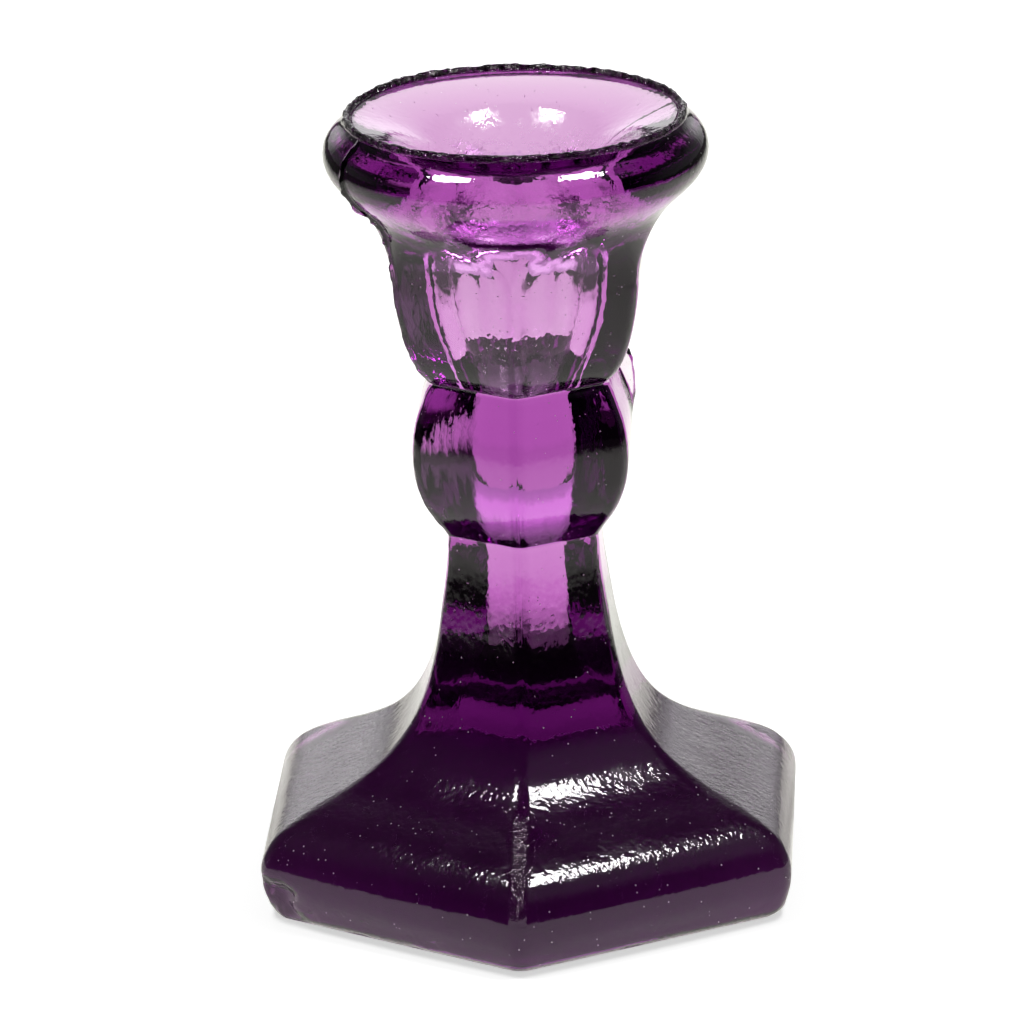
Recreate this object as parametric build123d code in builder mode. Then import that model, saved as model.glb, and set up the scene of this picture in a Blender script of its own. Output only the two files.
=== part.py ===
from build123d import *
import os

# Miniature pressed-glass candlestick, pressed in one piece: a six-sided foot,
# a flared stem, a bulging knop and a candle cup under a round rolled rim.
# Millimetres, +Z up, origin at the centre of the standing face, one corner
# of the foot on -Y.

# ---- driving dimensions ----
height = 76.6              # standing face to the crest of the lip
foot_corner_r = 29.05      # axis to a corner of the foot, at its widest
foot_half_flat = 25.4      # axis to a side of the foot, at its widest
foot_widest_z = 4.0
stem_top_z = 35.2          # step where the knop overhangs the stem
stem_top_corner_r = 8.05
knop_corner_r = 11.55
groove_z = 50.7            # sharp notch between the knop and the cup
groove_corner_r = 9.3
cup_corner_r = 13.2
rim_outer_r = 18.2         # greatest radius of the rolled rim
rim_widest_z = 72.2
lip_outer_r = 16.2         # narrow raised lip on top of the roll
lip_crest_r = 15.9
lip_inner_r = 15.6
lip_side_z = 76.3          # where the lip's sides meet its rounded crest
roll_end_r = 16.25         # where the roll meets the lip
roll_end_z = 75.7
bowl_edge_r = 15.55        # where the bowl meets the lip
bowl_edge_z = 75.95
socket_r = 6.6             # candle bore, for a 12.7 mm candle
socket_mouth_z = 68.9      # top of the bore's straight wall
socket_wall_base_z = 60.4  # lower end of the bore's straight wall
socket_floor_z = 51.3      # lowest point of the tapered socket bottom

# ---- form turned about the axis: (radius, height) ----
# It carries the rounded corners of the hexagon, the rim and the socket.
foot_edge = [
    (27.2, 0.0), (27.9, 0.5), (28.45, 1.5), (28.85, 2.7),
    (foot_corner_r, foot_widest_z), (28.9, 5.6), (28.48, 6.5), (27.8, 7.4),
]
foot_and_stem = [
    (27.8, 7.4), (26.95, 8.2), (25.36, 9.15), (22.72, 10.3), (20.17, 11.3),
    (18.3, 12.15), (16.71, 13.0), (15.32, 13.9), (14.15, 14.9), (12.96, 16.2),
    (11.8, 18.0), (10.87, 20.0), (10.06, 22.4), (9.46, 24.8), (9.0, 27.4),
    (8.6, 29.8), (8.24, 32.3), (stem_top_corner_r, stem_top_z),
]
knop = [
    (stem_top_corner_r, stem_top_z), (8.85, 36.3), (9.74, 37.5), (10.4, 38.6),
    (10.9, 39.75), (11.26, 40.9), (11.47, 42.2), (knop_corner_r, 44.1),
    (11.42, 45.6), (11.02, 47.3), (10.4, 48.8), (9.95, 49.8),
    (groove_corner_r, groove_z),
]
cup = [
    (groove_corner_r, groove_z), (10.1, 51.4), (10.72, 52.15), (11.22, 53.0),
    (11.66, 54.0), (12.08, 55.2), (12.42, 56.5), (12.78, 58.2),
    (13.06, 60.2), (cup_corner_r, 62.0), (13.3, 63.2), (13.43, 64.2),
    (13.6, 65.2), (13.88, 66.2), (14.35, 67.1), (15.15, 68.05),
    (16.15, 69.0), (17.15, 70.0), (17.85, 71.0), (rim_outer_r, rim_widest_z),
    (18.16, 73.0), (17.94, 73.72), (17.5, 74.4), (17.0, 74.9),
    (16.55, 75.32), (roll_end_r, roll_end_z),
]
bowl = [
    (bowl_edge_r, bowl_edge_z), (15.2, 75.83), (14.5, 75.63), (13.4, 75.34),
    (12.2, 74.95), (11.0, 74.4), (9.76, 73.64), (8.7, 72.75), (7.9, 71.9),
    (7.25, 70.95), (6.8, 69.95), (socket_r, socket_mouth_z),
]
socket_bottom = [
    (socket_r, socket_wall_base_z), (6.5, 58.8), (6.2, 57.2), (5.7, 55.6),
    (5.1, 54.2), (4.4, 52.9), (3.7, 52.0), (3.0, 51.55), (1.7, 51.33),
    (0, socket_floor_z),
]

# ---- six flats pressed into that form: (distance from axis, height) ----
flat_foot_edge = [
    (23.85, 0.0), (24.45, 0.5), (24.9, 1.5), (25.23, 2.7),
    (foot_half_flat, foot_widest_z), (25.28, 5.6), (24.93, 6.5), (24.36, 7.4),
]
flat_foot_and_stem = [
    (24.36, 7.4), (23.6, 8.2), (22.19, 9.15), (19.94, 10.3), (17.72, 11.3),
    (16.1, 12.15), (14.73, 13.0), (13.52, 13.9), (12.51, 14.9),
    (11.48, 16.2), (10.47, 18.0), (9.67, 20.0), (8.97, 22.4), (8.45, 24.8),
    (8.05, 27.4), (7.7, 29.8), (7.39, 32.3), (7.22, stem_top_z),
]
flat_knop = [
    (7.22, stem_top_z), (7.93, 36.3), (8.69, 37.5), (9.27, 38.6), (9.7, 39.75),
    (10.02, 40.9), (10.2, 42.2), (10.27, 44.1), (10.16, 45.6), (9.8, 47.3),
    (9.26, 48.8), (8.88, 49.8), (8.32, groove_z),
]
flat_cup = [
    (8.32, groove_z), (9.0, 51.4), (9.54, 52.15), (9.98, 53.0),
    (10.36, 54.0), (10.72, 55.2), (11.02, 56.5), (11.33, 58.2),
    (11.56, 60.2), (11.68, 62.0), (11.88, 63.2), (12.2, 64.2), (12.65, 65.2),
    (13.3, 66.2), (14.3, 67.3), (16.25, 68.7), (19.2, 70.2),
]
clear_r = 21.0             # the flats stop short of the rim
slab_half = 40.0

with BuildPart() as candlestick_body:
    # turned form
    with BuildSketch(Plane.XZ):
        with BuildLine():
            Line((0, 0), foot_edge[0])
            Spline(*foot_edge)
            Spline(*foot_and_stem)
            Spline(*knop)
            Spline(*cup)
            Line((roll_end_r, roll_end_z), (lip_outer_r, lip_side_z))
            ThreePointArc((lip_outer_r, lip_side_z), (lip_crest_r, height),
                          (lip_inner_r, lip_side_z))
            Line((lip_inner_r, lip_side_z), (bowl_edge_r, bowl_edge_z))
            Spline(*bowl)
            Line((socket_r, socket_mouth_z), (socket_r, socket_wall_base_z))
            Spline(*socket_bottom, tangents=[(0, -1), (-1, 0)])
            Line((0, socket_floor_z), (0, 0))
        make_face()
    revolve(axis=Axis.Z)

    # six flats, as three slabs at 60 degrees
    for turn in (0, 60, 120):
        with BuildSketch(Plane.XZ.rotated((0, 0, turn)).offset(-slab_half)):
            with BuildLine():
                Line((0, 0), flat_foot_edge[0])
                Spline(*flat_foot_edge)
                Spline(*flat_foot_and_stem)
                Spline(*flat_knop)
                Spline(*flat_cup)
                Line(flat_cup[-1], (clear_r, flat_cup[-1][1]))
                Line((clear_r, flat_cup[-1][1]), (clear_r, height + 1))
                Line((clear_r, height + 1), (0, height + 1))
                mirror(about=Plane.YZ)
            make_face()
        extrude(amount=2 * slab_half, mode=Mode.INTERSECT)

candlestick_body.part.label = "candlestick_body"

os.makedirs("parts", exist_ok=True)
export_step(candlestick_body.part, "parts/candlestick_body.step")
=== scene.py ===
import bpy
import math
import numpy as np
from mathutils import Matrix, Vector


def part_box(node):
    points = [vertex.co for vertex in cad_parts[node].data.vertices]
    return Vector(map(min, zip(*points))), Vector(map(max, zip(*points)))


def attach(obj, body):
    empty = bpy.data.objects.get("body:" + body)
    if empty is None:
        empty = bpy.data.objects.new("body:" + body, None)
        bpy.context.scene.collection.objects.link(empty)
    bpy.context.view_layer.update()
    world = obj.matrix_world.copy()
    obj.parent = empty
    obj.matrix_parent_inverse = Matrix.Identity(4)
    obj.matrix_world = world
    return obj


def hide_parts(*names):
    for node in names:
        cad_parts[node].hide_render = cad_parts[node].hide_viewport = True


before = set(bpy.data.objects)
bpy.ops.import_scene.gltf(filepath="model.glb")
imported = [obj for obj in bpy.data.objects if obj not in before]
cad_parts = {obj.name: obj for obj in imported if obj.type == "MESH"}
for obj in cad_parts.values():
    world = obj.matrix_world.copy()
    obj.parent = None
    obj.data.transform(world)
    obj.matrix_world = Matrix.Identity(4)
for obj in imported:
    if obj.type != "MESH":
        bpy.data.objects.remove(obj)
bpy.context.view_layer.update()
NODE = "candlestick_body"
lowest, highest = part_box(NODE)
MM = 0.001

# ------------------------------------------------------------------ helpers


def spline(knots, values, at):
    """Natural cubic spline through values at knots, read at the points in at."""
    x, y = np.asarray(knots, float), np.asarray(values, float)
    n = len(x)
    h = np.diff(x)
    a = np.zeros((n, n))
    b = np.zeros(n)
    a[0, 0] = a[-1, -1] = 1.0
    for i in range(1, n - 1):
        a[i, i - 1], a[i, i], a[i, i + 1] = h[i - 1], 2 * (h[i - 1] + h[i]), h[i]
        b[i] = 6 * ((y[i + 1] - y[i]) / h[i] - (y[i] - y[i - 1]) / h[i - 1])
    m = np.linalg.solve(a, b)
    at = np.clip(np.asarray(at, float), x[0], x[-1])
    k = np.clip(np.searchsorted(x, at) - 1, 0, n - 2)
    d0, d1, hk = x[k + 1] - at, at - x[k], h[k]
    return (m[k] * d0 ** 3 + m[k + 1] * d1 ** 3) / (6 * hk) + (
        y[k] / hk - m[k] * hk / 6) * d0 + (y[k + 1] / hk - m[k + 1] * hk / 6) * d1


def curve(points, step):
    """Points along a smooth line through (radius, height) points, about step apart."""
    p = np.asarray(points, float)
    chord = np.concatenate([[0], np.cumsum(np.hypot(*np.diff(p, axis=0).T))])
    n = max(int(round(chord[-1] / step)), 2)
    t = np.linspace(0, chord[-1], n + 1)
    return np.column_stack([spline(chord, p[:, 0], t), spline(chord, p[:, 1], t)])


def lattice(ix, iy, iz, seed):
    """A fixed random number from -1 to 1 for each whole-number point."""
    h = (ix.astype(np.int64) * 374761393 + iy.astype(np.int64) * 668265263
         + iz.astype(np.int64) * 2147483647 + seed * 1274126177) & 0xFFFFFFFF
    h = ((h ^ (h >> 13)) * 1274126177) & 0xFFFFFFFF
    h = ((h ^ (h >> 16)) * 2246822519) & 0xFFFFFFFF
    h = h ^ (h >> 15)
    return (h & 0xFFFFFF) / float(0x7FFFFF) - 1.0


def noise(p, size, seed):
    """Smooth value noise from -1 to 1 at points p, with cells of that size (one number, or one for each axis)."""
    q = p / np.asarray(size, float)
    i = np.floor(q).astype(np.int64)
    f = q - i
    f = f * f * f * (f * (f * 6 - 15) + 10)
    out = np.zeros(len(p))
    for dx in (0, 1):
        for dy in (0, 1):
            for dz in (0, 1):
                w = ((f[:, 0] if dx else 1 - f[:, 0]) * (f[:, 1] if dy else 1 - f[:, 1])
                     * (f[:, 2] if dz else 1 - f[:, 2]))
                out += w * lattice(i[:, 0] + dx, i[:, 1] + dy, i[:, 2] + dz, seed)
    return out


def smooth(x, lo, hi):
    t = np.clip((x - lo) / (hi - lo), 0, 1)
    return t * t * (3 - 2 * t)


def soft_min(a, b, k):
    h = np.clip(0.5 + 0.5 * (b - a) / k, 0, 1)
    return b * (1 - h) + a * h - k * h * (1 - h)


class Nodes:
    """Small arithmetic on shader sockets and numbers."""

    def __init__(self, tree):
        self.tree = tree

    def put(self, socket, value):
        if isinstance(value, bpy.types.NodeSocket):
            self.tree.links.new(value, socket)
        else:
            socket.default_value = value

    def op(self, kind, a, b=None, c=None):
        n = self.tree.nodes.new("ShaderNodeMath")
        n.operation = kind
        for k, v in enumerate((a, b, c)):
            if v is not None:
                self.put(n.inputs[k], v)
        return n.outputs[0]

    def dot(self, vector, direction):
        n = self.tree.nodes.new("ShaderNodeVectorMath")
        n.operation = "DOT_PRODUCT"
        self.put(n.inputs[0], vector)
        n.inputs[1].default_value = direction
        return n.outputs["Value"]

    def step(self, value, lo, hi, out_lo=0.0, out_hi=1.0):
        n = self.tree.nodes.new("ShaderNodeMapRange")
        n.interpolation_type = "SMOOTHSTEP"
        self.put(n.inputs["Value"], value)
        for key, v in (("From Min", lo), ("From Max", hi), ("To Min", out_lo), ("To Max", out_hi)):
            self.put(n.inputs[key], v)
        return n.outputs[0]

    def blend(self, a, b, t):
        n = self.tree.nodes.new("ShaderNodeMix")
        n.data_type = "FLOAT"
        self.put(n.inputs["Factor"], t)
        self.put(n.inputs[2], a)
        self.put(n.inputs[3], b)
        return n.outputs[0]

    def ramp(self, value, stops):
        r = self.tree.nodes.new("ShaderNodeValToRGB")
        e = r.color_ramp.elements
        while len(e) > 1:
            e.remove(e[-1])
        e[0].position, e[0].color = stops[0][0], (stops[0][1],) * 3 + (1,)
        for pos, val in stops[1:]:
            e.new(pos).color = (val,) * 3 + (1,)
        self.put(r.inputs[0], value)
        n = self.tree.nodes.new("ShaderNodeRGBToBW")
        self.tree.links.new(r.outputs[0], n.inputs[0])
        return n.outputs[0]


# ---------------------------------------------------------- the pressed form
# (radius at the corners, height) and (distance from axis to a side, height), mm

foot_edge = [(27.2, 0.0), (27.9, 0.5), (28.45, 1.5), (28.85, 2.7), (29.05, 4.0),
             (28.9, 5.6), (28.48, 6.5), (27.8, 7.4)]
foot_and_stem = [(27.8, 7.4), (26.95, 8.2), (25.36, 9.15), (22.72, 10.3),
                 (20.17, 11.3), (18.3, 12.15), (16.71, 13.0), (15.32, 13.9),
                 (14.15, 14.9), (12.96, 16.2), (11.8, 18.0), (10.87, 20.0),
                 (10.06, 22.4), (9.46, 24.8), (9.0, 27.4), (8.6, 29.8),
                 (8.24, 32.3), (8.05, 35.2)]
knop = [(8.05, 35.2), (8.85, 36.3), (9.74, 37.5), (10.4, 38.6), (10.9, 39.75),
        (11.26, 40.9), (11.47, 42.2), (11.55, 44.1), (11.42, 45.6), (11.02, 47.3),
        (10.4, 48.8), (9.95, 49.8), (9.3, 50.7)]
cup = [(9.3, 50.7), (10.1, 51.4), (10.72, 52.15), (11.22, 53.0), (11.66, 54.0),
       (12.08, 55.2), (12.42, 56.5), (12.78, 58.2), (13.06, 60.2), (13.2, 62.0),
       (13.3, 63.2), (13.43, 64.2), (13.6, 65.2), (13.88, 66.2), (14.35, 67.1),
       (15.15, 68.05), (16.15, 69.0), (17.15, 70.0), (17.85, 71.0), (18.2, 72.2),
       (18.16, 73.0), (17.94, 73.72), (17.5, 74.4), (17.0, 74.9), (16.55, 75.32),
       (16.25, 75.7)]
lip = [(16.25, 75.7), (16.2, 75.95), (16.1, 76.25), (15.92, 76.42), (15.72, 76.38),
       (15.62, 76.2), (15.55, 75.95)]
bowl = [(15.55, 75.95), (15.2, 75.83), (14.5, 75.63), (13.4, 75.34), (12.2, 74.95),
        (11.0, 74.4), (9.76, 73.64), (8.7, 72.75), (7.9, 71.9), (7.25, 70.95),
        (6.8, 69.95), (6.6, 68.9)]
bore = [(6.6, 68.9), (6.6, 66.2), (6.6, 63.2), (6.6, 60.4)]
floor_edge = [(6.6, 60.4), (6.5, 58.8), (6.2, 57.2), (5.7, 55.6), (5.1, 54.2), (4.4, 52.9),
              (3.7, 52.0), (3.0, 51.55)]
FLOOR = ((2.4, 51.4), (1.7, 51.33), (0.85, 51.3), (0.0, 51.3))

flat = [(23.85, 0.0), (24.45, 0.5), (24.9, 1.5), (25.23, 2.7), (25.4, 4.0),
        (25.28, 5.6), (24.93, 6.5), (24.36, 7.4), (23.6, 8.2), (22.19, 9.15),
        (19.94, 10.3), (17.72, 11.3), (16.1, 12.15), (14.73, 13.0), (13.52, 13.9),
        (12.51, 14.9), (11.48, 16.2), (10.47, 18.0), (9.67, 20.0), (8.97, 22.4),
        (8.45, 24.8), (8.05, 27.4), (7.7, 29.8), (7.39, 32.3), (7.22, 35.2)]
flat_knop = [(7.22, 35.2), (7.93, 36.3), (8.69, 37.5), (9.27, 38.6), (9.7, 39.75),
             (10.02, 40.9), (10.2, 42.2), (10.27, 44.1), (10.16, 45.6), (9.8, 47.3),
             (9.26, 48.8), (8.88, 49.8), (8.32, 50.7)]
flat_cup = [(8.32, 50.7), (9.0, 51.4), (9.54, 52.15), (9.98, 53.0), (10.36, 54.0),
            (10.72, 55.2), (11.02, 56.5), (11.33, 58.2), (11.56, 60.2), (11.68, 62.0),
            (11.88, 63.2), (12.2, 64.2), (12.65, 65.2), (13.3, 66.2), (14.3, 67.3),
            (16.25, 68.7), (19.2, 70.2)]


def flat_at(z):
    out = np.full(len(z), 30.0)
    for table in (flat, flat_knop, flat_cup):
        t = np.asarray(table)
        m = (z >= t[0, 1]) & (z <= t[-1, 1])
        out[m] = spline(t[:, 1], t[:, 0], z[m])
    return out


# rings down the outside, over the lip and into the socket
outside = [curve(foot_edge, 0.42), curve(foot_and_stem, 0.46), curve(knop, 0.4),
           curve(cup, 0.31), curve(lip, 0.13)]
inside = [curve(bowl, 0.36), curve(bore, 0.9), curve(floor_edge, 0.4)]
rings = np.vstack([outside[0]] + [c[1:] for c in outside[1:] + inside])
n_out = sum(len(c) for c in outside) - len(outside) + 1

# columns, closer together at the six corners (30, 90, ... degrees)
PER = 50
u = np.linspace(-1, 1, PER, endpoint=False)
sector = 30 * (0.42 * u + 0.58 * np.sin(0.5 * math.pi * u))
theta = np.radians(np.concatenate([sector + 60 * k for k in range(6)]))
phi = np.radians(np.tile(sector, 6))
N = len(theta)

R = rings[:, 0][:, None]
Z = rings[:, 1][:, None]
A = np.full((len(rings), 1), 60.0)
A[:n_out, 0] = flat_at(rings[:n_out, 1])
edge_soft = np.where(rings[:, 1] > 61.0, 0.38, 0.2)[:, None]
radius = np.where(np.arange(len(rings))[:, None] < n_out,
                  soft_min(A / np.cos(phi)[None, :], np.broadcast_to(R, (len(rings), N)), edge_soft),
                  np.broadcast_to(R, (len(rings), N)))
height = np.broadcast_to(Z, radius.shape).copy()

# the flats of the foot swell a little, apart from the two on the X axis
swell = 0.3 * smooth(rings[:, 1], 1.0, 4.0) * (1 - smooth(rings[:, 1], 11.0, 20.0))
off_x = 1 - np.abs(np.cos(theta - phi))
radius = radius + np.where(np.arange(len(rings)) < n_out, swell, 0)[:, None] * (
    (1 - (np.tan(phi) / math.tan(math.pi / 6)) ** 2) * smooth(off_x, 0.1, 0.4))[None, :]
x = radius * np.cos(theta)[None, :]
y = radius * np.sin(theta)[None, :]
verts = np.stack([x, y, height], -1)

# outward normals of the smooth form
down = np.gradient(verts, axis=0)
around = np.roll(verts, -1, axis=1) - np.roll(verts, 1, axis=1)
normal = np.cross(down, around)
normal /= np.linalg.norm(normal, axis=-1, keepdims=True) + 1e-12
if normal[n_out // 3, 0] @ np.array([math.cos(theta[0]), math.sin(theta[0]), 0]) < 0:
    normal = -normal

# ------------------------------------------------- what the mould left on it
P = verts.reshape(-1, 3)
shape = radius.shape
zz, rr = P[:, 2], np.hypot(P[:, 0], P[:, 1])
ring_no = np.repeat(np.arange(shape[0]), shape[1])
angle = np.tile(np.degrees(theta), shape[0]) % 360
is_out = ring_no < n_out
push = np.zeros(len(P))
free = smooth(zz, 0.3, 1.5)
# uneven pressed skin
push += np.where(is_out, free, 0) * (0.016 * noise(P, (3.4, 3.4, 5.5), 3) + 0.006 * noise(P, 1.3, 5))
# vertical draw marks low on the knop and up the cup
draw = np.exp(-((zz - 39.5) / 2.6) ** 2) + 0.45 * smooth(zz, 52, 56) * (1 - smooth(zz, 66, 69))
push += np.where(is_out, draw, 0) * 0.012 * noise(P, (0.8, 0.8, 4.0), 7)
# the plunger's grainy skin in the middle of the bowl and in the socket
grain = np.where(is_out, 0, 1) * (1 - smooth(rr, 8.6, 9.8))
push += grain * (0.022 * noise(P, 1.0, 9) + 0.012 * noise(P, 0.55, 10)) * (0.12 + 0.88 * smooth(zz, 64, 69))
push += np.where(is_out, 0, 1) * smooth(rr, 9.0, 10.5) * 0.010 * noise(P, 2.6, 12)


# at the front the roll is lower, with a steeper collar up to the lip
front = smooth(-np.sin(np.radians(angle)), 0.35, 0.85)
collar = spline([72.2, 73.0, 73.72, 74.07, 74.4, 74.65, 74.9, 75.15, 75.32, 75.7, 76.0],
                [0, 0.04, 0.14, 0.24, 0.45, 0.52, 0.46, 0.30, 0.16, 0.0, 0.0], zz)
inward = np.where(is_out & (zz > 72.2) & (zz < 76.0), front * collar, 0)


def seam(at, table, width, seed, rag=1.0):
    """A fin of glass down one mould line; table holds (height up the piece, how far it stands out)."""
    t = np.asarray(table, float)
    tall = np.interp(zz, t[:, 0], t[:, 1])
    off = ((angle - at + 180) % 360 - 180) * math.pi / 180 * rr
    ragged = 1 + rag * (0.55 * noise(P * [0, 0, 1] + [at, 0, 0], (1, 1, 0.9), seed)
                        + 0.35 * noise(P * [0, 0, 1] + [at, 0, 0], (1, 1, 0.35), seed + 1))
    return np.where(is_out, tall * ragged * np.exp(-(off / width) ** 2), 0)


push += seam(210, [(0, 0.0), (8, 0.02), (20, 0.06), (36, 0.08), (46, 0.1), (52, 0.1), (60, 0.16),
                   (64, 0.3), (67, 0.5), (70, 0.42), (73, 0.3), (75.5, 0.15), (76.4, 0.0)], 0.26, 21)
push += seam(30, [(0, 0.0), (8, 0.02), (30, 0.06), (42, 0.08), (52.6, 0.1), (58, 0.12),
                  (66, 0.25), (71, 0.3), (73.5, 0.45), (75.6, 0.4), (76.4, 0.1)], 0.3, 31)
# where the mould gaped at the groove, the fin swells into a smooth web
push += seam(30, [(43.6, 0.0), (44.6, 0.28), (45.6, 0.62), (46.8, 1.05), (48.0, 1.4), (49.1, 1.7),
                  (50.1, 1.65), (50.9, 1.2), (51.7, 0.55), (52.7, 0.0)], 0.7, 35, 0.08)
push += seam(270, [(0, 0.0), (5, 0.0), (20, 0.03), (30, 0.05), (50, 0.04), (60, 0.0), (77, 0.0)], 0.2, 41)

# the lip is left as a rough broken edge
lip_zone = smooth(zz, 75.65, 75.95) * smooth(rr, 15.3, 15.55)
crumb = 0.09 * noise(P, 0.7, 51) + 0.06 * noise(P, 0.42, 52) + 0.06 * noise(P, 2.6, 53)
push += lip_zone * (crumb - 0.04)
# rough patch where the mould closed on the front corner of the foot
front_off = ((angle - 270 + 180) % 360 - 180) * math.pi / 180 * rr
patch = np.exp(-(front_off / 0.85) ** 2) * smooth(zz, 5.6, 6.6) * (1 - smooth(zz, 10.5, 12.5)) * is_out
push += patch * (0.2 * noise(P, (0.6, 0.6, 0.55), 61) + 0.08 * noise(P, 0.4, 62) - 0.1)
# chip on the left corner of the foot, low down
left_off = ((angle - 213 + 180) % 360 - 180) * math.pi / 180 * rr
chip = np.exp(-(left_off / 1.7) ** 2) * smooth(zz, 0.0, 0.9) * (1 - smooth(zz, 3.4, 5.2)) * is_out
push -= chip * (0.8 + 0.6 * noise(P, 1.5, 71) + 0.15 * noise(P, 0.7, 72))
# small knocks along the lower edge
knock = smooth(noise(P, (1.7, 1.7, 1.2), 81), 0.55, 0.85) * (1 - smooth(zz, 1.0, 2.2)) * smooth(zz, 0.0, 0.4) * is_out
push -= 0.22 * knock

moved = P + normal.reshape(-1, 3) * push[:, None]
moved[:, 0] -= inward * np.cos(np.radians(angle))
moved[:, 1] -= inward * np.sin(np.radians(angle))
# the rim came out of the mould very slightly tipped, higher at the front
moved[:, 2] += smooth(moved[:, 2], 62.0, 73.0) * (-0.0125 * moved[:, 1] + 0.0)
moved[:, 2] = np.clip(moved[:, 2], 0.0, highest[2] / MM - 0.005)
moved[:, 0] = np.clip(moved[:, 0], lowest[0] / MM + 0.003, highest[0] / MM - 0.003)
moved[:, 1] = np.clip(moved[:, 1], lowest[1] / MM + 0.003, highest[1] / MM - 0.003)
verts = moved.reshape(verts.shape)

# ---------------------------------------------------------------- mesh
def grid_faces(rows, cols, first=0):
    i = np.arange(rows - 1)[:, None]
    j = np.arange(cols)[None, :]
    a = first + i * cols + j
    b = first + i * cols + (j + 1) % cols
    c = first + (i + 1) * cols + (j + 1) % cols
    d = first + (i + 1) * cols + j
    return np.stack([a, b, c, d], -1).reshape(-1, 4)


flat_verts = verts.reshape(-1, 3)
rows = len(rings)
faces = grid_faces(rows, N).tolist()

# socket floor: rings to the middle
extra = []
count = rows * N
last = (rows - 1) * N
for r, z in FLOOR[:-1]:
    ring = np.stack([r * np.cos(theta), r * np.sin(theta), np.full(N, z)], -1)
    extra.append(ring)
    faces += [[last + j, last + (j + 1) % N, count + (j + 1) % N, count + j] for j in range(N)]
    last = count
    count += N
extra.append(np.array([[0, 0, FLOOR[-1][1]]]))
faces += [[last + j, last + (j + 1) % N, count] for j in range(N)]
count += 1
# standing face: rings from the foot's edge to the middle
last = 0
for s in (0.9, 0.78, 0.64, 0.5, 0.36, 0.22, 0.1):
    base = verts[0].copy()
    ring = base * s
    ring[:, 2] = 0.0
    extra.append(ring)
    faces += [[count + j, count + (j + 1) % N, last + (j + 1) % N, last + j] for j in range(N)]
    last = count
    count += N
extra.append(np.array([[0, 0, 0.0]]))
faces += [[count, last + (j + 1) % N, last + j] for j in range(N)]
count += 1

all_verts = np.vstack([flat_verts] + extra) * MM
mesh = bpy.data.meshes.new("candlestick_glass")
mesh.from_pydata(all_verts.tolist(), [], faces)
mesh.validate()
mesh.update()
for p in mesh.polygons:
    p.use_smooth = True
glass = bpy.data.objects.new("candlestick_glass", mesh)
bpy.context.scene.collection.objects.link(glass)

# ------------------------------------------------------------- material
mat = bpy.data.materials.new("amethyst_glass")
mat.use_nodes = True
nt = mat.node_tree
nt.nodes.clear()
out = nt.nodes.new("ShaderNodeOutputMaterial")
bsdf = nt.nodes.new("ShaderNodeBsdfPrincipled")
bsdf.inputs["Base Color"].default_value = (1, 1, 1, 1)
bsdf.inputs["Transmission Weight"].default_value = 1.0
bsdf.inputs["IOR"].default_value = 1.55
# fire-polished everywhere but on the ground standing face
tex = nt.nodes.new("ShaderNodeTexCoord")
where = nt.nodes.new("ShaderNodeSeparateXYZ")
nt.links.new(tex.outputs["Object"], where.inputs[0])
ground = nt.nodes.new("ShaderNodeMapRange")
ground.inputs["From Min"].default_value = 0.00005
ground.inputs["From Max"].default_value = 0.0002
ground.inputs["To Min"].default_value = 0.9
ground.inputs["To Max"].default_value = 0.0
nt.links.new(where.outputs["Z"], ground.inputs["Value"])
skin = Nodes(nt)


def speckle(size, detail, stretch=(1, 1, 1)):
    """Noise in cells of that many metres."""
    scale = nt.nodes.new("ShaderNodeVectorMath")
    scale.operation = "MULTIPLY"
    nt.links.new(tex.outputs["Object"], scale.inputs[0])
    scale.inputs[1].default_value = tuple(c / size for c in stretch)
    n = nt.nodes.new("ShaderNodeTexNoise")
    n.inputs["Scale"].default_value = 1.0
    n.inputs["Detail"].default_value = detail
    nt.links.new(scale.outputs[0], n.inputs["Vector"])
    return n.outputs["Fac"]


# orange peel all over, stronger and with a fine ripple on the foot
peel = speckle(0.0007, 1.0, (1, 1, 0.7))
ripple = speckle(0.0004, 1.0, (1, 1, 0.6))
low = skin.step(where.outputs["Z"], 0.030, 0.014)
relief = skin.op("ADD", skin.op("MULTIPLY", peel, skin.blend(1.0, 1.7, low)),
                 skin.op("MULTIPLY", ripple, skin.blend(0.16, 0.85, low)))
# scattered pits and dust
dust = nt.nodes.new("ShaderNodeTexVoronoi")
dust.inputs["Scale"].default_value = 1 / 0.0008
nt.links.new(tex.outputs["Object"], dust.inputs["Vector"])
pits = skin.op("MULTIPLY", skin.step(dust.outputs["Distance"], 0.12, 0.06), skin.step(speckle(0.002, 0.0), 0.47, 0.56))
relief = skin.op("ADD", relief, skin.op("MULTIPLY", pits, skin.blend(0.8, 2.6, low)))
# the broken lip: a coarse conchoidal grain, with painted shade darkening its colour
far = skin.op("SQRT", skin.op("ADD", skin.op("MULTIPLY", where.outputs["X"], where.outputs["X"]),
                              skin.op("MULTIPLY", where.outputs["Y"], where.outputs["Y"])))
tipped = skin.op("ADD", where.outputs["Z"], skin.op("MULTIPLY", where.outputs["Y"], 0.0125))
broken = skin.op("MULTIPLY", skin.step(tipped, 0.07570, 0.07592), skin.step(far, 0.01528, 0.01548))
grain = speckle(0.0005, 2.0)
# the grainy mark of the plunger in the middle of the bowl
mid = skin.op("MULTIPLY", skin.step(far, 0.0108, 0.0078), skin.step(where.outputs["Z"], 0.0685, 0.0705))
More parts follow.
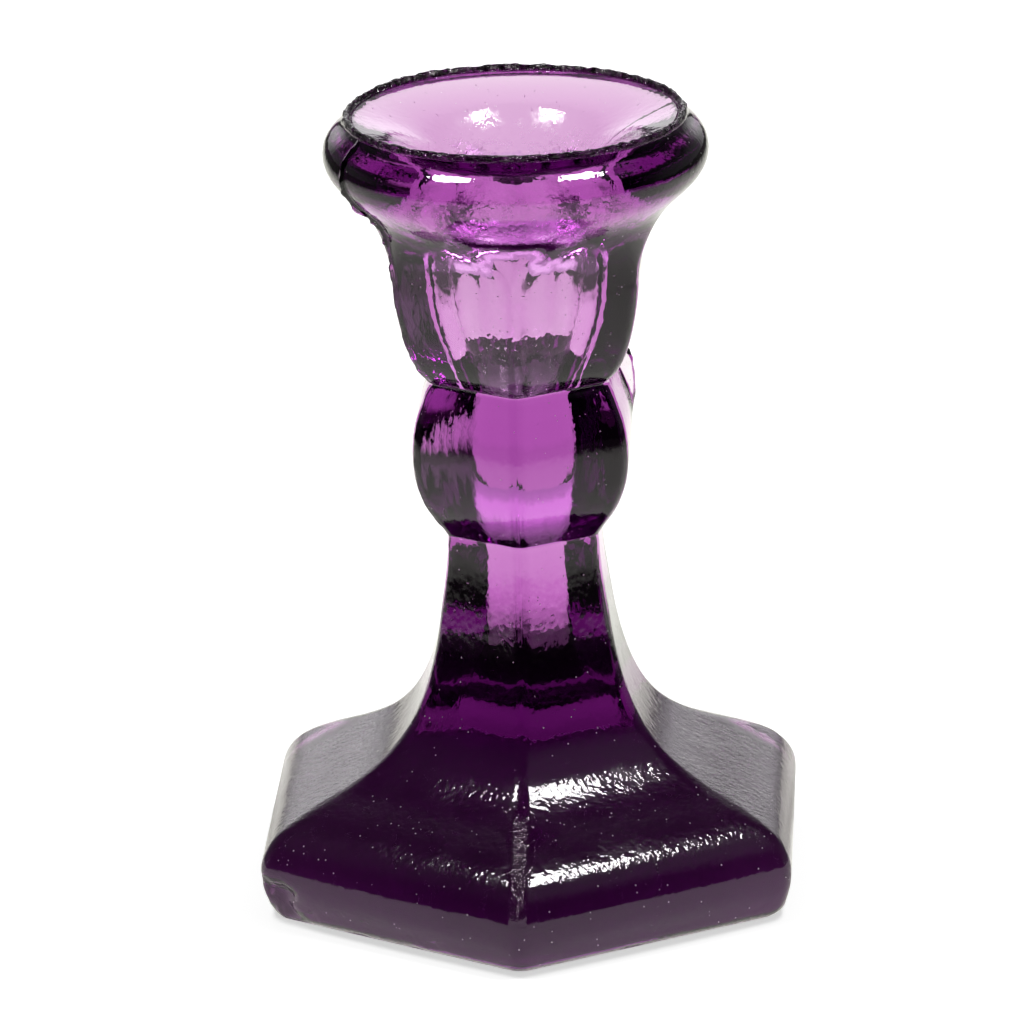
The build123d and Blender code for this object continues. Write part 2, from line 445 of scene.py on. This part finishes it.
# the scuffed mark down the front corner of the foot
mark = skin.op("MULTIPLY", skin.step(skin.op("ABSOLUTE", where.outputs["X"]), 0.0010, 0.0005),
               skin.op("MULTIPLY", skin.step(where.outputs["Y"], -0.017, -0.019),
                       skin.op("MULTIPLY", skin.step(where.outputs["Z"], 0.0052, 0.0062),
                               skin.step(where.outputs["Z"], 0.0128, 0.0112))))
coarse = skin.op("ADD", skin.op("MULTIPLY", broken, 22.0),
                 skin.op("ADD", skin.op("MULTIPLY", mid, 2.4), skin.op("MULTIPLY", mark, 16.0)))
relief = skin.op("ADD", relief, skin.op("MULTIPLY", grain, coarse))
bump = nt.nodes.new("ShaderNodeBump")
bump.inputs["Strength"].default_value = 1.0
bump.inputs["Distance"].default_value = 0.000022
nt.links.new(relief, bump.inputs["Height"])
nt.links.new(bump.outputs[0], bsdf.inputs["Normal"])
# slightly hazier where it was handled, rough on the ground face and on the broken lip
haze = skin.step(speckle(0.003, 1.0), 0.35, 0.75, 0.015, 0.06)
haze = skin.op("ADD", haze, skin.op("MULTIPLY", low, 0.07))
haze = skin.op("ADD", haze, skin.op("MULTIPLY", pits, 0.3))
haze = skin.op("ADD", haze, skin.op("MULTIPLY", mid, skin.step(speckle(0.0009, 2.0), 0.38, 0.66, 0.02, 0.3)))
rough = skin.blend(haze, 0.06, broken)
nt.links.new(skin.blend(0.5, 0.2, broken), bsdf.inputs["Specular IOR Level"])
# painted shade: the broken lip's colour darkened almost to black, patchy with the grain
lip_painted_shade = skin.blend(1.0, 0.01, skin.op("MULTIPLY", broken, skin.step(grain, 0.45, 0.65, 1.0, 0.6)))
tone = nt.nodes.new("ShaderNodeCombineColor")
for key in ("Red", "Green", "Blue"):
    nt.links.new(lip_painted_shade, tone.inputs[key])
nt.links.new(tone.outputs[0], bsdf.inputs["Base Color"])
# pits and dust scatter white light
shown = skin.op("MULTIPLY", pits, skin.blend(0.35, 0.75, low))
shown = skin.op("MULTIPLY", shown, skin.step(where.outputs["Z"], 0.0002, 0.0006))
nt.links.new(skin.op("SUBTRACT", 1.0, shown), bsdf.inputs["Transmission Weight"])
rough = skin.op("MAXIMUM", rough, ground.outputs[0])
nt.links.new(rough, bsdf.inputs["Roughness"])
nt.links.new(bsdf.outputs[0], out.inputs["Surface"])
vol = nt.nodes.new("ShaderNodeVolumeAbsorption")
SIG = (43.5, 105.0, 40.5)
DENS = 120.0
vol.inputs["Color"].default_value = tuple(1 - s / DENS for s in SIG) + (1,)
vol.inputs["Density"].default_value = DENS
nt.links.new(vol.outputs[0], out.inputs["Volume"])
mesh.materials.append(mat)

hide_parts(NODE)
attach(glass, "root")

AZ, EL, ROLL = math.radians(3.416), math.radians(19.616), math.radians(1.5)

# ---------------------------------------------------------------- stage
FLOOR_GLOW = 0.6
stage_mesh = bpy.data.meshes.new("floor")
stage_mesh.from_pydata([(-3, -0.45, 0), (0.5, -0.45, 0), (0.5, 3, 0), (-3, 3, 0)], [], [(0, 1, 2, 3)])
floor = bpy.data.objects.new("floor", stage_mesh)
bpy.context.scene.collection.objects.link(floor)
fmat = bpy.data.materials.new("floor_white")
fmat.use_nodes = True
ft = fmat.node_tree
ft.nodes.clear()
fo = ft.nodes.new("ShaderNodeOutputMaterial")
fd = ft.nodes.new("ShaderNodeBsdfDiffuse")
fd.inputs["Color"].default_value = (0.8, 0.8, 0.8, 1)
fe = ft.nodes.new("ShaderNodeEmission")
fe.inputs["Color"].default_value = (1, 1, 0.93, 1)
fa = ft.nodes.new("ShaderNodeAddShader")
# what the glass sees: a painted pool of light near the object, bright back along the sweep and dim to
# the sides, with painted shadow just behind the foot and under it, where the light has come through the glass
away = Vector((-math.sin(AZ), math.cos(AZ), 0))
right0 = Vector((math.cos(AZ), math.sin(AZ), 0))
spot = ft.nodes.new("ShaderNodeTexCoord").outputs["Object"]
lit = Nodes(ft)
reach = None
for k in range(3):
    n = lit.op("ABSOLUTE", lit.dot(spot, (math.cos(k * math.pi / 3), math.sin(k * math.pi / 3), 0)))
    reach = n if reach is None else lit.op("MAXIMUM", reach, n)
along = lit.dot(spot, tuple(away))
across = lit.op("ABSOLUTE", lit.dot(spot, tuple(right0)))
gone = lit.op("SQRT", lit.op("ADD", lit.op("MULTIPLY", along, along), lit.op("MULTIPLY", across, across)))
# painted light: a pool of light on the floor around the object
painted_light_pool = lit.op("MULTIPLY", lit.op("SUBTRACT", 1.0, lit.step(gone, 0.13, 0.32)), 1.2)
strip = lit.op("MULTIPLY", lit.op("MULTIPLY", lit.op("SUBTRACT", 1.0, lit.step(across, 0.10, 0.24)),
                                  lit.step(along, -0.02, 0.08)), 1.12)
painted_floor_light = lit.op("MAXIMUM", lit.op("MAXIMUM", painted_light_pool, strip), 0.1)
# painted shadow: the floor darkened just behind the foot
shade = lit.op("MULTIPLY", lit.op("SUBTRACT", 1.0, lit.step(gone, 0.024, 0.05)), lit.step(along, 0.0, 0.02))
painted_floor_light = lit.op("MULTIPLY", painted_floor_light, lit.op("SUBTRACT", 1.0, lit.op("MULTIPLY", shade, 0.6)))
# painted shadow: the floor under the foot made dark, where the light has come through the glass
clear = lit.step(reach, 0.0232, 0.0240)
painted_floor_light = lit.blend(0.012, painted_floor_light, clear)
ft.links.new(painted_floor_light, fe.inputs["Strength"])
plain = ft.nodes.new("ShaderNodeLightPath").outputs["Is Camera Ray"]
fp = ft.nodes.new("ShaderNodeEmission")
fp.inputs["Strength"].default_value = FLOOR_GLOW
ft.links.new(fd.outputs[0], fa.inputs[0])
ft.links.new(fp.outputs[0], fa.inputs[1])
fm = ft.nodes.new("ShaderNodeMixShader")
ft.links.new(plain, fm.inputs[0])
ft.links.new(fe.outputs[0], fm.inputs[1])
ft.links.new(fa.outputs[0], fm.inputs[2])
ft.links.new(fm.outputs[0], fo.inputs["Surface"])
stage_mesh.materials.append(fmat)
floor.location.z = -0.00003

# ---------------------------------------------------------------- camera
S = 76.0 / 792.68 * MM
DIST = 7226.7 * S
back = Vector((math.sin(AZ) * math.cos(EL), -math.cos(AZ) * math.cos(EL), math.sin(EL)))
up0 = back.cross(right0)
target = Vector((0, 0, 377.13 * S)) + right0 * (-14.245 * S + 0.00014)
right = right0 * math.cos(ROLL) - up0 * math.sin(ROLL)
up = right0 * math.sin(ROLL) + up0 * math.cos(ROLL)
cam_data = bpy.data.cameras.new("camera")
cam_data.sensor_width = 36.0
cam_data.lens = 7226.7 / 1024 * 36.0
cam_data.clip_start = 0.01
cam_data.clip_end = 50
camera = bpy.data.objects.new("camera", cam_data)
bpy.context.scene.collection.objects.link(camera)
m = Matrix((right, up, back)).transposed().to_4x4()
m.translation = target + back * DIST
camera.matrix_world = m
bpy.context.scene.camera = camera

# ---------------------------------------------------------------- lights
def softbox(name, side, far, high, size, radiance, dist=1.0):
    d = (right0 * side + away * far + Vector((0, 0, high))).normalized()
    data = bpy.data.lights.new(name, "AREA")
    data.shape = "RECTANGLE"
    data.size, data.size_y = size
    area = size[0] * size[1]
    data.energy = radiance * math.pi * area
    lamp = bpy.data.objects.new(name, data)
    bpy.context.scene.collection.objects.link(lamp)
    lamp.location = Vector((0, 0, 0.04)) + d * dist
    lamp.rotation_euler = d.to_track_quat("Z", "Y").to_euler()
    return lamp


softbox("softbox_left", -0.333, 0.06, 0.941, (0.22, 0.22), 28)
softbox("softbox_right", 0.333, 0.06, 0.941, (0.22, 0.22), 28)

# ---------------------------------------------------------------- world
# a white sweep behind, a dim room to the sides and a dark one in front
world = bpy.data.worlds.new("studio")
bpy.context.scene.world = world
world.use_nodes = True
wt = world.node_tree
wt.nodes.clear()
wo = wt.nodes.new("ShaderNodeOutputWorld")
bg = wt.nodes.new("ShaderNodeBackground")
wt.links.new(bg.outputs[0], wo.inputs[0])
wc = wt.nodes.new("ShaderNodeTexCoord").outputs["Generated"]
sky = Nodes(wt)
forth = sky.dot(wc, (away.x, away.y, 0))
split = wt.nodes.new("ShaderNodeSeparateXYZ")
wt.links.new(wc, split.inputs[0])
high = split.outputs["Z"]
level = sky.op("SQRT", sky.op("MAXIMUM", sky.op("SUBTRACT", 1.0, sky.op("MULTIPLY", high, high)), 0.0004))
turn = sky.op("DIVIDE", forth, level)
behind = sky.step(turn, 0.76, 0.97)
beside = sky.step(turn, -0.35, 0.25)
e_back = sky.ramp(high, [(0.0, 1.2), (0.06, 1.4), (0.12, 2.0), (0.24, 2.0), (0.36, 1.2), (0.54, 0.7), (0.77, 0.5), (0.9, 0.3), (1.0, 0.07)])
e_side = sky.ramp(high, [(0.0, 0.28), (0.2, 0.28), (0.36, 0.14), (0.55, 0.09), (0.8, 0.06), (1.0, 0.07)])
e_front = sky.ramp(high, [(0.0, 0.02), (0.5, 0.02), (0.8, 0.04), (1.0, 0.07)])
e = sky.blend(e_front, e_side, beside)
e = sky.blend(e, e_back, behind)
for side, most in ((1, 0.35), (-1, 0.1)):
    d = (right0 * (0.45 * side) + away * -0.15 + Vector((0, 0, 0.88))).normalized()
    halo = sky.step(sky.dot(wc, tuple(d)), 0.86, 0.98)
    e = sky.op("ADD", e, sky.op("MULTIPLY", halo, most))
plain = wt.nodes.new("ShaderNodeLightPath").outputs["Is Camera Ray"]
e = sky.blend(e, 0.985, plain)
wt.links.new(e, bg.inputs["Strength"])

# ---------------------------------------------------------------- render look
sc = bpy.context.scene
sc.view_settings.view_transform = "Standard"
sc.view_settings.look = "None"
sc.view_settings.exposure = 0
sc.view_settings.gamma = 1
# a studio camera's contrast: deeper darks, unchanged lights
sc.view_settings.use_curve_mapping = True
tone_curve = sc.view_settings.curve_mapping
points = tone_curve.curves[3].points
for at, level_out in ((0.007, 0.0024), (0.032, 0.020), (0.091, 0.066), (0.156, 0.120), (0.305, 0.27), (0.515, 0.52), (0.79, 0.80)):
    points.new(at, level_out)
tone_curve.update()
sc.cycles.max_bounces = 24
sc.cycles.transmission_bounces = 24
sc.cycles.glossy_bounces = 16
sc.cycles.diffuse_bounces = 3
sc.cycles.caustics_reflective = False
sc.cycles.caustics_refractive = False
sc.cycles.use_denoising = True
